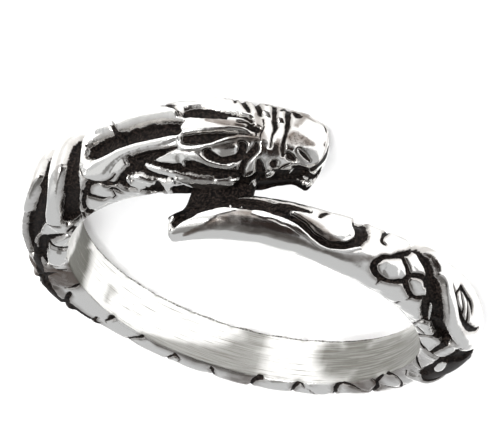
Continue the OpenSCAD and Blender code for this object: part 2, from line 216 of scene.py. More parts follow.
HEAD = [
    # groove and strand on the far side of the forehead
    (FIELD, -.3, [(-80.6, -18, .1), (-78, -20.5, .12), (-75, -20, .2), (-72, -21.5, .3),
        (-69, -21.5, .33), (-66, -18.5, .27)]),
    (RIDGE, .1, [(-80.4, -25, .08), (-77.5, -27, .11), (-75, -31, .12), (-71.5, -36, .13),
        (-67, -35, .17), (-63.5, -30, .18)]),
    # wrinkles over the far brow
    (LINE, .16, [(-82.3, -31, .09), (-81, -42, .13), (-79.8, -56, .14)]),
    (LINE, .16, [(-79.6, -33, .07), (-78, -42, .13), (-76.6, -56, .13)]),
    (LINE, .12, [(-75.9, -42, .07), (-75, -54, .09)]),
    (LINE, .12, [(-73.6, -46, .05), (-72.8, -58, .07)]),
    # forehead
    (RIDGE, .14, [(-80.8, 1.5, .09), (-78, .5, .1), (-75, 2, .18), (-72, 4, .28), (-69, 5.5, .38),
        (-66.6, 5, .4)]),
    (RIDGE, .05, [(-80.7, -9, .07), (-80, -13, .1), (-78, -15.5, .09), (-75.5, -15, .06)]),
    (FIELD, -.22, [(-82.7, -4, .12), (-80.9, -5.5, .14)]),
    (LINE, .08, [(-82.7, 9, .05), (-82.6, 0, .07)]),
    # painted shade and dark reflections over the forehead
    (PAINTED_SHADE, .8, [(-82, 7, .1), (-76, 7.5, .15), (-71, 12, .12)]),
    (PAINTED_SHADE, 1, [(-79, -4, .24), (-77, -5, .34), (-74.4, -6, .32), (-71, -8, .16)]),
    # horns
    (RIDGE, .2, [(-65.6, 20, .12), (-63, 22.5, .2), (-60, 25, .22), (-56, 26, .24), (-52, 28, .28),
        (-49, 31, .34), (-46, 37, .44), (-43, 44, .56), (-40.5, 47, .5), (-38.8, 46, .35)]),
    (RIDGE, .28, [(-64, -16, .14), (-60, -20, .34), (-55, -26, .52), (-50, -30, .62), (-45, -31, .62),
        (-41, -28, .45)]),
    (RIDGE, .06, [(-38.4, 42, .18), (-37.6, 28, .12), (-37.5, 14, .13), (-37.4, 4, .12), (-37, -6, .1),
        (-37.8, -16, .2)]),
    (LINE, .16, [(-65.5, 33, .06), (-62, 37.5, .1), (-58, 38.5, .13), (-54, 42, .12)]),
    # painted brown reflection along the near horn
    (PAINTED_SHADE, .7, [(-64.5, 33, .12), (-60, 34, .14), (-55, 36, .16), (-51, 40, .16)]),
    (LINE, .1, [(-64.4, -14, .05), (-62.4, -26, .07), (-59.6, -37, .09), (-57, -46, .09), (-55, -54, .06)]),
    (LINE, .08, [(-62, -33, .04), (-58.4, -45, .08), (-57.5, -52, .06)]),
    (FIELD, -.1, [(-47.3, -6, .12), (-46.4, -13, .1), (-45.8, -18, .06)]),
    # spikes behind the cheek, and the dark between them
    (FIELD, -.34, [(-57.8, 90, .06), (-56.6, 98, .25), (-55, 106, .4), (-52, 110, .3)]),
    (FIELD, -.32, [(-51.4, 60, .22), (-49.2, 70, .28), (-47, 80, .26), (-47.3, 90, .26), (-48.6, 94, .14)]),
    (RIDGE, .08, [(-62.9, 86, .08), (-61.2, 91, .22), (-59.7, 99, .2), (-59.1, 108, .12), (-59, 116, .08)]),
    (RIDGE, .08, [(-56.6, 90, .08), (-55.2, 82, .2), (-53.2, 75, .22), (-51.2, 69, .1)]),
    (RIDGE, .04, [(-50.1, 90, .08), (-49.4, 81, .1), (-49.6, 71, .07)]),
    # lips and teeth
    (FLAT, -.02, [(-87.7, 62.5, .05), (-87.9, 66.5, .15), (-87.6, 70.5, .21), (-87.2, 75, .09)]),
    (FLAT, .02, [(-83.6, 47, .05), (-83.4, 55, .13), (-83.2, 64, .17), (-82.6, 70, .15), (-81.6, 75, .08)]),
    (FLAT, -.06, [(-84, 92, .08), (-83.8, 98.5, .15), (-83.4, 106, .08)]),
    (FLAT, -.08, [(-97.4, 76, .06), (-96.8, 74, .1), (-96.3, 71.5, .06)]),
    (RIDGE, -.06, [(-92.8, 62, .06), (-92.5, 70, .07)]),
    (FLAT, -.12, [(-99.2, 86, .04), (-98.5, 79, .07)]),
    (FLAT, -.12, [(-98.8, 100, .04), (-98, 93, .06)]),
    (FLAT, -.02, [(-99.1, 58, .07), (-98.2, 55.8, .1), (-97.3, 54.5, .05)]),
    # wrinkles over the bridge of the nose
    (LINE, .24, [(-89.7, 35, .07), (-89.4, 27, .1), (-89, 12, .08), (-89, -1, .07), (-89, -10, .09),
        (-88.9, -20, .13), (-88.4, -33, .13), (-88.1, -42, .13), (-87.9, -56, .11)]),
    (LINE, .24, [(-86.4, 24, .04), (-86.3, 13, .05), (-86.2, 0, .06), (-86.4, -10, .09),
        (-86.2, -19, .12), (-85.6, -28, .1), (-85.1, -38, .12), (-84.6, -56, .1)]),
    # fine wrinkles where the nose meets the forehead, in painted shade
    (PAINTED_SHADE, .9, [(-84.2, 12, .2), (-83.4, 0, .3), (-82.6, -14, .3), (-81.6, -30, .22)]),
    (LINE, .14, [(-83.9, 16, .04), (-83.6, 4, .06), (-83.8, -10, .05), (-83.2, -24, .06)]),
    (LINE, .12, [(-82, 10, .04), (-80.2, 8, .05), (-78.2, 8.5, .03)]),
    (LINE, .12, [(-81.8, -2, .05), (-79.8, -3, .05), (-77.4, -4, .03)]),
    (LINE, .12, [(-81.6, -12, .04), (-79.6, -11, .06), (-77.6, -10, .03)]),
    # crease of the lip under the nostril
    (LINE, .12, [(-91.8, 46, .04), (-90.4, 52, .06), (-89.6, 58, .04)]),
    # dark outline of the far side
    (LINE, .05, [(-57, -46, .04), (-61, -48, .06), (-66, -50, .06), (-71, -51, .05), (-76, -51, .03)]),
    # spots over the far side of the nose
    (LINE, .08, [(-82.6, -47, .05), (-83.1, -45, .05)]),
    (LINE, .08, [(-84.1, -46, .06), (-85.3, -44, .06)]),
    (LINE, .1, [(-86.5, -40, .06), (-87.1, -45, .11)]),
    (LINE, .1, [(-89.3, -44, .08), (-90.4, -42, .09), (-91.4, -40, .05)]),
    # painted shade beside the last spot
    (PAINTED_SHADE, 1, [(-91.6, -40, .1), (-94.6, -41, .12)]),
    # lower ends of the wrinkles on the hidden flank
    (LINE, .14, [(-88.4, -62, .1), (-89, -84, .08)]),
    (LINE, .14, [(-85.2, -64, .1), (-85.6, -86, .08)]),
    # nostril, slit and spot
    (FIELD, -.3, [(-92.3, 39, .09), (-91.4, 35, .14), (-90.7, 31, .08)]),
    (LINE, .16, [(-96, 35.5, .05), (-94.6, 30, .1), (-93.2, 24, .09), (-92.7, 21, .04)]),
    (FIELD, -.24, [(-88.2, 46, .09), (-88, 50, .12), (-88.3, 54, .1)]),
    # edge before the eye, and the notch in the lip
    (FIELD, -.26, [(-83.2, 19.5, .07), (-83.3, 27, .14), (-82.8, 34, .17), (-81.9, 42, .14),
        (-81.3, 51, .11), (-80.9, 62, .1), (-80.7, 72, .12)]),
    (FIELD, -.3, [(-84.5, 46, .06), (-84.8, 53, .12), (-85.1, 62, .16), (-85.4, 72, .2)]),
    # front of the nose: painted shade under the bulb and along the front, two fine grooves, and painted
    # grey reflections on the bulb
    (STAIN_AND_SHADE, 1, [(-99.7, -16, .06), (-99.7, 0, .13), (-99.6, 16, .17), (-99.1, 30, .17), (-98.4, 40, .15),
        (-97.4, 48, .16)]),
    (STAIN_AND_SHADE, 1, [(-99.6, 48, .14), (-99.3, 60, .2)]),
    (LINE, .08, [(-95.4, -48, .03), (-96.6, -44, .05), (-97.4, -37, .07), (-97.8, -29, .05)]),
    (LINE, .06, [(-98.2, -8, .03), (-98.2, -1, .06)]),
    (PAINTED_SHADE, .8, [(-98.6, -30, .1), (-98.9, 0, .14), (-98.7, 24, .14), (-97.8, 38, .12)]),
    (PAINTED_SHADE, .25, [(-96.6, 44, .5), (-96.4, 26, .7)]),
    # painted dark reflection: the brown triangle behind the bulb, and a dark band on over the far side
    (PAINTED_SHADE, 1, [(-95.6, 8, .14), (-94, 7, .3), (-92.4, 5, .5), (-91, 4, .6)]),
    (STAIN_AND_SHADE, .46, [(-96, 8, .05), (-94.6, 7, .16), (-93, 6, .3), (-91.7, 4, .4)]),
    (PAINTED_SHADE, .9, [(-90.8, -20, .14), (-91.3, -30, .26), (-91.8, -42, .36), (-92, -54, .4)]),
    # painted dark reflection along the far outline
    (PAINTED_SHADE, .5, [(-97, -40, .2), (-92, -46, .3), (-86, -48, .34), (-80, -50, .34), (-74, -50, .3),
        (-66, -48, .3), (-59, -46, .2)]),
    # painted shade at the lower ends of the wrinkles
    (PAINTED_SHADE, 1, [(-88.2, 32, .24), (-87.9, 20, .3), (-87.7, 10, .2)]),
    (PAINTED_SHADE, .9, [(-84.8, 18, .2), (-84.4, 8, .3), (-83.6, 0, .24)]),
]
NECK = [
    # full outline where the neck runs out into the band
    (RIDGE, .12, [(18, 36, .3), (24, 40, .8), (40, 51, .9), (48, 57, .5)]),
    (RIDGE, .27, [(25, 42, .4), (30, 45, .9), (35, 48, .9), (39, 51, .4)]),
    # hollows before and behind the first lock of the mane
    (FIELD, -.55, [(-33.2, -60, .4), (-33, -30, .45), (-32.9, -8, .5), (-33.3, 10, .56), (-33, 30, .56),
        (-32.3, 42, .54), (-31, 54, .5), (-28.6, 66, .48), (-25.6, 79, .45), (-22.6, 90, .46),
        (-19.6, 99, .44), (-16.5, 103, .34), (-14.6, 104, .28)]),
    (FIELD, -.55, [(-23.1, -60, .32), (-22.9, -30, .35), (-22.8, -10, .4), (-22.7, 8, .42),
        (-22.5, 22, .44), (-21.1, 35, .48), (-18.2, 47, .52), (-13.6, 57, .54), (-9, 61.5, .52),
        (-4, 60.5, .42), (1, 57, .3), (7, 53, .24), (13, 48, .13)]),
    (RIDGE, .12, [(-27.8, -60, .44), (-27.7, -20, .48), (-27.5, 0, .5), (-27.3, 20, .48),
        (-26.1, 40, .44), (-24.8, 50, .44), (-22.6, 60, .5), (-19, 71, .52), (-15, 80, .52),
        (-11.8, 90, .46), (-9.6, 100, .34)]),
    # fold to the left of both, and painted shade along the tops of the folds and along the outer side
    (RIDGE, .08, [(-17.6, -30, .5), (-17.4, 0, .56), (-16.4, 22, .5), (-13.6, 34, .42), (-9, 42, .34)]),
    (PAINTED_SHADE, .55, [(-29.2, -40, .2), (-29, -5, .24), (-28.8, 22, .2), (-27.6, 42, .14)]),
    (PAINTED_SHADE, .6, [(-19.6, -40, .24), (-19.4, -5, .28), (-18.2, 20, .24), (-15.4, 36, .16)]),
    (PAINTED_SHADE, .8, [(-3, 76, .2), (4, 70, .5), (12, 70, .6), (20, 72, .5), (28, 74, .4), (34, 76, .2)]),
    # black streak along the outer side, which thins out on the band
    (STAIN_AND_SHADE, .95, [(1, 64, .16), (8, 63, .26), (16, 62, .27), (24, 60, .24), (32, 62, .22), (40, 66, .18),
        (48, 70, .12), (56, 72, .05)]),
    # scales under the horn
    (RIDGE, .06, [(-41, 78, .28), (-39, 86, .36), (-38.6, 93, .24)]),
    (RIDGE, .05, [(-35, 104, .3), (-31.5, 104, .36), (-29.5, 108, .2)]),
    (LINE, .2, [(-45.2, 79, .09), (-43.6, 75, .15), (-42, 71, .15), (-41, 67.5, .07)]),
    (LINE, .2, [(-43.8, 96, .09), (-43, 89, .13), (-41.8, 87, .08)]),
    (LINE, .12, [(-41.8, 92, .05), (-40.6, 101, .06), (-38.8, 106, .04)]),
    (LINE, .2, [(-38.8, 99.5, .05), (-36.4, 98, .11), (-34.8, 92, .15), (-33.8, 84, .17),
        (-33.4, 76, .18)]),
    (LINE, .2, [(-39.5, 66, .08), (-37, 64, .17), (-35.6, 70, .18), (-34.4, 76, .18)]),
    (LINE, .14, [(-46.8, 60, .05), (-45, 66, .06), (-42.6, 68.5, .07), (-40.4, 66, .07),
        (-38.4, 60, .06), (-37.2, 52, .05), (-36.6, 44, .05), (-36.5, 34, .04)]),
    (LINE, .2, [(-33, 79, .11), (-31, 86, .11), (-28.8, 94, .11), (-26.8, 102, .13)]),
    (FIELD, -.22, [(-26.2, 112, .15), (-24.4, 116, .16)]),
    (LINE, .18, [(-23.2, 106, .12), (-22.6, 112, .08), (-21, 118, .05)]),
    (LINE, .16, [(-13.2, 117, .11), (-11, 114, .11), (-9, 113, .06)]),
    (LINE, .12, [(-12.4, 121, .07), (-9.5, 120, .09)]),
    (LINE, .06, [(-11.8, 97, .05), (-11, 90, .06), (-10.4, 83, .04)]),
    # curl at the foot of the mane, with its beads
    (RIDGE, .1, [(-3, 111, .38), (-1.2, 105, .42)]),
    (RIDGE, .12, [(7.6, 109, .4), (9.4, 101, .58), (12, 97, .5)]),
    (FIELD, -.32, [(-6.9, 118, .05), (-6.1, 108, .11), (-4.6, 99, .18), (-2, 91, .24), (1.8, 84, .26),
        (6, 80, .23), (9.6, 78, .19), (12.6, 78.5, .13), (15.2, 80, .06)]),
    (LINE, .14, [(15.2, 80, .06), (15.7, 88, .05), (15.2, 97, .04)]),
    (FIELD, -.28, [(2.5, 120, .07), (3.1, 112, .14), (3, 102, .14), (1.6, 94, .18)]),
    (LINE, .07, [(17.2, 112, .05), (17.4, 97, .06)]),
    (LINE, .16, [(19.4, 93, .04), (20.2, 82, .1), (21.4, 71, .14), (23.6, 58, .18), (26.5, 42, .17),
        (29, 10, .12), (29.4, -30, .1), (29.2, -70, .07), (29.6, -100, .05)]),
    (LINE, .14, [(27.2, 118, .08), (28, 110, .1), (28.6, 100, .07), (28.8, 90, .04)]),
    (LINE, .16, [(31.2, 93, .06), (33, 83, .13), (35, 71, .16), (37.4, 59, .15), (38.6, 30, .13),
        (38, 0, .11), (38.6, -40, .08), (38.8, -80, .06), (39.4, -104, .05)]),
    # painted shade along the outer side, out onto the band
    (PAINTED_SHADE, .5, [(27, 84, .3), (32, 72, .4), (42, 70, .35), (52, 70, .3), (68, 70, .26), (84, 68, .1)]),
]
# Grooves across the back band, from the rim of the finger wall to the side's top
BAND_GROOVES = [
    [(46.2, 88, .04), (46.6, 76, .09), (47, 62, .1)],
    [(61.2, 118, .14), (61, 110, .12), (60.2, 100, .09), (59.6, 88, .08), (59.5, 78, .1), (60, 65, .09)],
    [(73.6, 114, .05), (74.2, 107, .12), (73.6, 98, .08), (73.2, 85, .07), (73.3, 65, .07)],
    [(86.3, 113, .05), (86.5, 105, .12), (87.2, 95, .1), (87.5, 85, .1), (87.2, 65, .1)],
    [(102.2, 120, .2), (101.2, 112, .15), (100.4, 103, .13), (99.9, 95, .12), (99.3, 80, .1),
     (98.8, 65, .09)],
    [(115, 119, .12), (114.2, 112, .13), (113.2, 100, .12), (112.2, 85, .1), (111.4, 67, .09)],
    [(131.8, 121, .07), (129.6, 117, .11), (128, 105, .12), (126.8, 92, .11), (125.6, 78, .1),
     (124.8, 64, .09)],
]
# The plates between the grooves are slightly domed
PLATE_MIDDLES = (54, 67, 80.5, 93.5, 106, 118.5)
PLATES = [(RIDGE, 0.05, [(mid, 104, .5), (mid, 60, 1.0), (mid, 0, 1.1), (mid, -60, 1.0), (mid, -104, .5)])
          for mid in PLATE_MIDDLES]


def round_the_back(shown):
    """A groove of the band, carried on over the outside that the photo doesn't show."""
    turn = shown[-1][0]
    hidden = [(turn, 20, .09), (turn + .6, -40, .07), (turn + 1.4, -100, .06), (turn + 1.8, -117, .1)]
    return LINE, 0.15, shown + hidden


BAND = PLATES + [round_the_back(shown) for shown in BAND_GROOVES] + [
    (FIELD, -.16, [(48.4, 115, .14), (48.5, 108, .09), (48.7, 100, .05), (48.9, 92, .03)]),
    (LINE, .1, [(74.5, 107, .08), (75.6, 102, .06), (76.3, 94, .04), (76.4, 87, .02)]),
    (LINE, .1, [(116.3, 117, .08), (116.7, 108, .05), (116.8, 102, .03)]),
    (LINE, .05, [(118, 100, .02), (118.6, 88, .03), (119.3, 68, .03)]),
    (LINE, .12, [(132, 120, .11), (133.8, 113, .09), (135.2, 100, .07), (136, 88, .05), (137, 76, .03),
        (137.6, 68, .05)]),
    (LINE, .16, [(144, 118, .05), (144.1, 108, .08), (143.8, 98, .11), (142.6, 90, .13),
        (140.6, 80, .12), (138.6, 68, .13), (137.4, 58, .1), (136, 20, .1)]),
    (LINE, .14, [(149.2, 123, .08), (147, 116, .09), (145, 110, .08), (144.2, 100, .06)]),
    (LINE, .06, [(145, 95, .03), (145.8, 85, .04), (147, 72, .06), (147.6, 60, .06)]),
    (LINE, .12, [(152, 124, .09), (153.8, 116, .08), (154.4, 105, .06), (153.6, 92, .05),
        (151.8, 78, .07), (150, 66, .09), (148.8, 56, .1), (147, 20, .1)]),
]
BODY = [
    # swelling before the hollow
    (RIDGE, .16, [(160.6, 100, .3), (161, 80, .6), (161.5, 55, .6), (162, 20, .4)]),
    # hollow under the ribbon's foot, shallow because the outline shows no dip, and the bead in it
    (FIELD, -.02, [(165.8, 88, .2), (165.6, 80, .4), (166.6, 70, .7), (171, 62, .95), (178, 59, .85),
        (184, 57, .75), (188.6, 53, .5), (191.4, 53, .16)]),
    (FIELD, -.02, [(165, 60, .7), (168, 30, .6), (170, 0, .5), (174, -40, .4)]),
    (FIELD, -.2, [(166.4, 90, .16), (170.6, 91, .2), (174.5, 88.5, .18), (178.4, 84.5, .18),
        (181.6, 80, .24), (183, 75, .24)]),
    (FIELD, -.2, [(184, 56, .4), (187.4, 44, .34), (188.2, 32, .14)]),
    (FLAT, .06, [(173, 80.2, .13), (175, 81, .2), (177.5, 80.6, .2), (180, 79, .14)]),
    # ribbon
    (RIDGE, .18, [(186.6, 14, .3), (189.4, 34, .5), (193, 48, .58), (198, 55, .62), (203, 53, .6),
        (207.6, 42, .52), (211.5, 26, .5), (214.6, 8, .46), (216.2, -10, .44), (218, -30, .48),
        (220, -50, .48), (222, -80, .4)]),
    # hollow in front of the ribbon, and the blade in it
    (FIELD, -.5, [(195, 74, .3), (199, 77.5, .34), (203, 77, .34), (206.6, 71, .32), (210, 61.5, .36),
        (213.4, 50, .46), (216, 40, .56), (217.6, 28, .54), (219.4, 16, .52), (220.9, 4, .42),
        (221.9, -8, .48), (224, -22, .58), (226, -35, .62), (226.6, -50, .55), (227, -80, .4)]),
    (FIELD, -.3, [(208, 96, .06), (208.8, 89, .14), (211, 82, .17), (213.4, 73, .18), (215.6, 64, .2),
        (217, 54, .3)]),
    (RIDGE, -.04, [(208.9, 82, .07), (211, 71.5, .13), (213, 62, .1), (214.2, 55, .05)]),
    # scales beyond the ribbon
    (LINE, .18, [(193, 13, .06), (194.6, 22, .12), (197, 29, .17), (199.8, 33, .17), (202.4, 33, .14),
        (205, 30, .14), (208, 22, .11), (210.4, 13, .1), (212.4, 3, .09), (213.7, -8, .04)]),
    (LINE, .16, [(200.6, 30, .08), (202.2, 21, .1), (203.4, 12, .08), (204.2, 3, .07), (206, -5, .08),
        (208.8, -12, .1)]),
    (LINE, .14, [(204.3, 30, .08), (205, 20, .08), (206.4, 10, .07), (208, 1, .07), (209.2, -8, .08)]),
    (LINE, .18, [(200.9, 9, .1), (201.8, 2, .15), (203.4, -4, .15), (205.6, -9, .09), (209.2, -15, .08)]),
    (LINE, .14, [(209.6, 14, .08), (210.4, 6, .1), (210, -4, .08), (209.6, -13, .1)]),
    (LINE, .05, [(214.4, -13, .03), (215.2, -22, .04)]),
    # scales on the side towards the finger
    (LINE, .1, [(160, 103, .04), (161.8, 112, .04)]),
    (LINE, .12, [(169.6, 100, .05), (170.8, 108, .08), (173, 115, .08), (176, 121, .06)]),
    (FIELD, -.36, [(183.4, 74, .2), (182.7, 84, .19), (182.7, 93, .18), (183.8, 101, .19),
        (184.8, 108, .1)]),
    (LINE, .18, [(185.4, 99.5, .1), (188, 95.5, .13), (190.5, 90, .15), (192.6, 83, .18),
        (194.2, 76, .24), (194.8, 70, .24)]),
    (LINE, .14, [(186.4, 111, .11), (188.6, 117, .11), (191.4, 120.5, .06), (194, 121.5, .04)]),
    (LINE, .18, [(196, 120, .08), (197.5, 112, .1), (198.1, 103, .1), (198.1, 94, .12), (197.2, 87, .17),
        (196, 80, .24)]),
    (LINE, .1, [(199.6, 105, .07), (201, 108, .07), (203, 112, .05)]),
    (LINE, .12, [(184.6, 76, .05), (187, 69.5, .05), (190, 62.5, .06), (192, 57, .06)]),
    (FIELD, -.34, [(206.4, 74, .26), (207, 84, .19), (207.6, 93, .12), (207.6, 99, .05)]),
    (LINE, .1, [(207.6, 100, .05), (206.4, 109, .05), (204.4, 118, .05), (203, 123, .04)]),
    # large scales
    (RIDGE, .06, [(222.8, 50, .26), (223.8, 40, .44), (224.4, 28, .28)]),
    (RIDGE, .06, [(232.4, 44, .38), (233.6, 30, .46), (233, 14, .3)]),
    (RIDGE, .06, [(225.4, 4, .34), (227.4, -6, .38), (228.2, -16, .2)]),
    (LINE, .22, [(219.6, 50, .16), (221, 59, .16), (222.5, 62, .15), (224.4, 57, .15), (226.4, 49, .17),
        (228, 40, .19), (228, 30, .18), (229, 19, .13), (230.4, 8, .12), (231.6, -1, .12)]),
    (LINE, .1, [(222.4, 62, .1), (221.9, 70, .06), (221.6, 79, .03)]),
    (LINE, .22, [(228.2, 44, .14), (230.4, 53, .14), (232.6, 61, .15), (234.6, 62, .16),
        (236.8, 55, .17), (238.2, 45, .18), (238.6, 35, .18), (238, 25, .17), (236.8, 16, .13),
        (235, 9, .11), (233.4, 1, .14), (231.9, -8, .14), (230.5, -17, .14), (229.4, -27, .14)]),
    (LINE, .1, [(234.2, 65, .12), (233.5, 75, .06), (232.7, 89, .02)]),
    (LINE, .2, [(221.8, 28, .14), (223, 19, .17), (224.6, 18, .15), (226.6, 23, .13), (228, 29, .13)]),
    (LINE, .18, [(222.9, 8, .07), (222.6, 0, .1), (223.8, -9, .13), (225.6, -17, .13), (227.2, -25, .14)]),
    (LINE, .14, [(237.5, -12, .06), (238.6, -16, .1), (238.7, -26, .09), (238.2, -36, .11),
        (237.2, -47, .12), (236, -60, .12), (235, -85, .06)]),
    (LINE, .06, [(220.2, 107, .05), (221.3, 95, .03)]),
    # painted dark reflection along the upper outline
    (PAINTED_SHADE, .7, [(190, -14, .2), (195, -30, .3), (203, -46, .36), (214, -54, .36), (228, -56, .36),
        (242, -56, .34), (256, -54, .3), (266, -50, .2)]),
]
TAIL = [
    # groove round the leaf fold
    (FIELD, -.34, [(244.7, -75, .2), (245, -48, .32), (245.3, -36, .42), (244.5, -18, .34),
        (244.6, -2, .26), (245.2, 10, .25), (246.5, 20, .2), (248.4, 30, .18), (250.8, 38, .17),
        (253.2, 40.5, .17), (255.8, 37.5, .19), (258, 29, .21), (260.8, 17, .25), (264.4, 6, .3),
        (268.6, -3, .34)]),
    # upper face, up to the tip
    (FIELD, -.3, [(266, -12, .28), (270, -20, .4), (276, -31, .5), (283, -34, .62), (288.4, -26, .6),
        (291, -8, .5), (292.5, 8, .42), (293.8, 22, .32), (295, 34, .2)]),
    (STAIN_AND_SHADE, 1, [(286, -60, .5), (291, -50, .6), (295, -30, .5), (296, 0, .3)]),
    (RIDGE, .06, [(248.8, -12, .34), (251, 2, .44), (254.6, 6, .42), (258, -6, .3), (262, -16, .16)]),
    # painted shade where the leaf's lower end runs into the groove
    (PAINTED_SHADE, 1, [(248.6, 22, .14), (251.5, 24, .3), (254.5, 20, .4), (258, 9, .42), (262, -3, .34)]),
    # painted dark reflections along the tail's side
    (PAINTED_SHADE, .85, [(240, 28, .2), (242.6, 38, .26), (246, 48, .24), (250, 54, .2), (254, 55, .2),
        (258, 52, .22), (264, 49, .24), (270, 49, .26), (276, 48, .36)]),
    (PAINTED_SHADE, .9, [(263, 21, .12), (267, 17, .24), (271, 15, .3), (275, 16, .4), (279, 18, .4)]),
    (PAINTED_SHADE, 1, [(277, 36, .34), (280, 35, .5), (283, 40, .46), (286, 50, .4), (288.6, 60, .3),
        (290.6, 71, .22), (291.6, 81, .12)]),
    # marks behind the leaf, and two short hairs in the black of the upper face
    (FIELD, -.12, [(260, -30, .09), (264, -30, .16), (268, -28, .2)]),
    (LINE, .1, [(256.9, -19, .05), (256.3, -28, .1), (255, -40, .09)]),
    (RIDGE, -.12, [(277.2, -6, .05), (277.2, -12, .06)]),
    (RIDGE, -.12, [(280, -9, .05), (280.3, -16, .06)]),
    # bright lip along the leaf fold's groove and along the upper face
    (FLAT, .02, [(244.1, 17, .04), (246.4, 30.5, .06), (248.8, 42, .07), (251.6, 48, .07),
        (254.4, 48, .07), (256.8, 40.5, .08), (259.4, 31, .1), (262.4, 21, .12), (266, 13, .14),
        (270, 8, .13), (273.5, 6, .09)]),
    (FLAT, .02, [(278.4, 3, .05), (281, 6, .12), (283.6, 11, .19), (286, 22, .26), (288.6, 33, .28),
        (291, 44, .26), (293.2, 54, .18), (294.6, 64, .1)]),
]
# Painted reflections and shade on the finger wall. Strokes 1, 3 and 4 step across 180, so by mistake their
# paths also run over the outside of the band and leave painted shade there.
WALL = [
    (PAINTED_SHADE, 1.3, [(14, 130, .5), (18, 148, 1.3), (22, 180, 1.8), (20, -150, 1.3)]),
    (PAINTED_SHADE, .6, [(42.6, 138, .14), (43.4, 160, .3), (44, 180, .34)]),
    (PAINTED_SHADE, .8, [(62, 126, .2), (70, 130, .45), (78, 136, .7), (87, 146, .95), (93, 162, 1.2),
        (96, 180, 1.3), (97, -155, 1)]),
    (PAINTED_SHADE, 1, [(124, -160, 1.2), (132, -174, 1.6), (142, 178, 1.8), (154, 172, 1.8), (166, 168, 1.8),
        (178, 164, 1.7)]),
    # painted dark reflection along the far rim
    (STAIN_AND_SHADE, .56, [(8, -122.6, .03), (24, -122.6, .06), (60, -122.6, .07), (100, -122.6, .07),
        (140, -122.6, .06), (160, -122.6, .03)]),
]
FAR_SIDE = mirrored(MOUTH, middle=2) + mirrored(CHEEK, middle=-9) + mirrored(EYE, middle=-14)
# In the order of the work: a later stroke goes over an earlier one
STROKES = MOUTH + FAR_SIDE + NOSE + CHANNEL + CHEEK + EYE + BROW + HEAD + NECK + BAND + BODY + TAIL + WALL

PATH_STEP, LEAST_HALF_WIDTH = 0.045, 0.02
# How far a field's slope reaches inside and outside its edge, and how far its black passes that edge
LIP_IN, LIP_OUT, BLACK_OUT = 0.08, 0.14, 0.03
FLAT_IN, FLAT_OUT = 0.02, 0.1
BLACK_EDGE = 0.08
LINE_FLARE = 1.5
RIDGE_POWER = 0.8  # under 1 makes its top broader
RIDGE_POLISH = 2.2  # how soon the black gives way on a ridge's slope
BROAD = 0.9  # a ridge this wide has no edge to refine
PAINTED_SHADE_CORE = 0.35  # share of a painted shade's width that is at full strength
# Grey film beside the black, partly oxide and partly painted shade: how strong, and how far it reaches
FILM_AND_SHADE, FILM_AND_SHADE_REACH = 0.7, 0.26
# Half widths under which a stroke is less ragged, and has less film and painted shade beside it
RAGGED_WIDTH, FILM_AND_SHADE_WIDTH = 0.16, 0.12
# How much farther than its width a stroke is looked for, in millimetres and in degrees
SPARE, SPARE_TURN = 0.3, 2
NO_EDGE = 9.0
# Unevenness: size in millimetres, waves per millimetre
RAGGED = ((0.026, 1.2), (0.012, 4.0))
HAND_WORK = ((0.022, 0.6), (0.008, 2.0))
WAVES, WAVE_SPREAD, WAVE_SUM = 24, 4, 5


def wander(places, waves_per_mm):
    """Smooth uneven values of about -1 to 1, the same on every run."""
    rng = np.random.default_rng(5)
    waves = rng.normal(size=(3, WAVES)) * WAVE_SPREAD * waves_per_mm
    return np.cos(places @ waves + rng.uniform(0, math.tau, WAVES)).sum(1) / WAVE_SUM


def unevenness(places, kind):
    return sum(size * wander(places, waves) for size, waves in kind)


def path_of(points):
    """Close points along a stroke, and its half width at each."""
    p = np.array(points, float)
    corner = skin(p[:, 0], p[:, 1])
    run = np.concatenate([[0], np.cumsum(np.linalg.norm(np.diff(corner, axis=0), axis=1))])
    s = np.linspace(0, run[-1], max(int(run[-1] / PATH_STEP), 2) + 1)
    turn, around, wide = (curve(s, run, p[:, c]) for c in range(3))
    return skin(turn, around), np.maximum(wide, LEAST_HALF_WIDTH), turn


CARVED = [(kind, level, *path_of(points)) for kind, level, points in STROKES]


def smoothstep(t):
    t = np.clip(t, 0, 1)
    return t * t * (3 - 2 * t)


